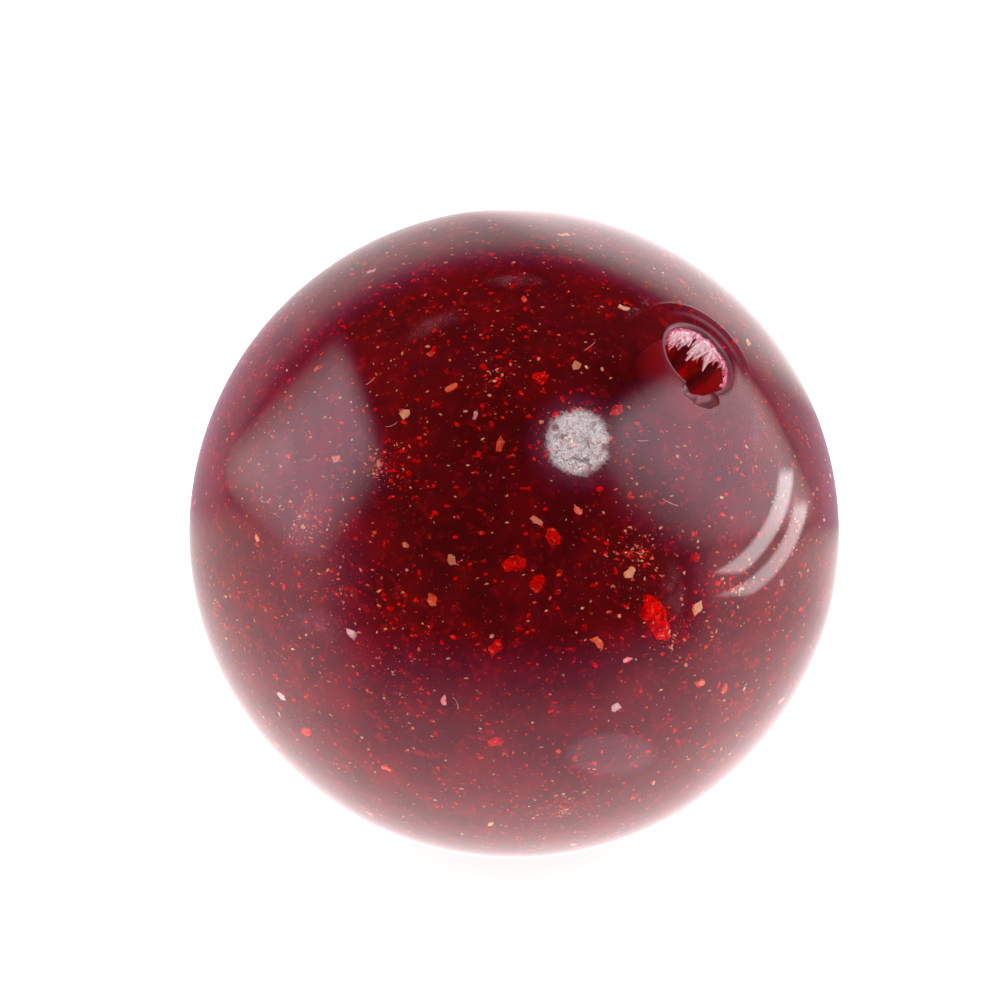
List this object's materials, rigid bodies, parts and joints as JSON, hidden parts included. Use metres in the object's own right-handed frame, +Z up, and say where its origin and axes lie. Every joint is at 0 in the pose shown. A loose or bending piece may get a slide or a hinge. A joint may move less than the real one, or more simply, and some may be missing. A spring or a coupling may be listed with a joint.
{
  "type": "bowling ball",
  "caption": "Drilled bowling ball: translucent cast cover with embedded flakes over a dense core and weight block, a bare thumb hole in a shallow dish and lined finger holes.",
  "frame": {"origin": "centre of the ball", "axes": "+Z up in the pictured pose, away from the point that the ball stands on; -Y faces the viewer, +X is to the viewer's right"},
  "size_m": [0.216, 0.216, 0.216],
  "materials": {
    "cover_resin": "polished translucent crimson polyester",
    "filler": "dense dark moulded resin",
    "block": "mineral-filled casting",
    "pin": "satin sanded flush",
    "insert": "soft matt vinyl",
    "red_chip": "translucent scarlet chips",
    "gold_flake": "bright leaf",
    "amber_chip": "translucent orange chips",
    "silver_flake": "pale leaf"
  },
  "bodies": {
    "root": {"cover_shell": "cover_resin", "filler_body": "filler", "weight_block": "block", "locator_pin": "pin", "middle_finger_insert": "insert", "ring_finger_insert": "insert", "red_chips": "red_chip", "gold_flakes": "gold_flake", "amber_chips": "amber_chip", "silver_flakes": "silver_flake"}
  },
  "joints": []
}
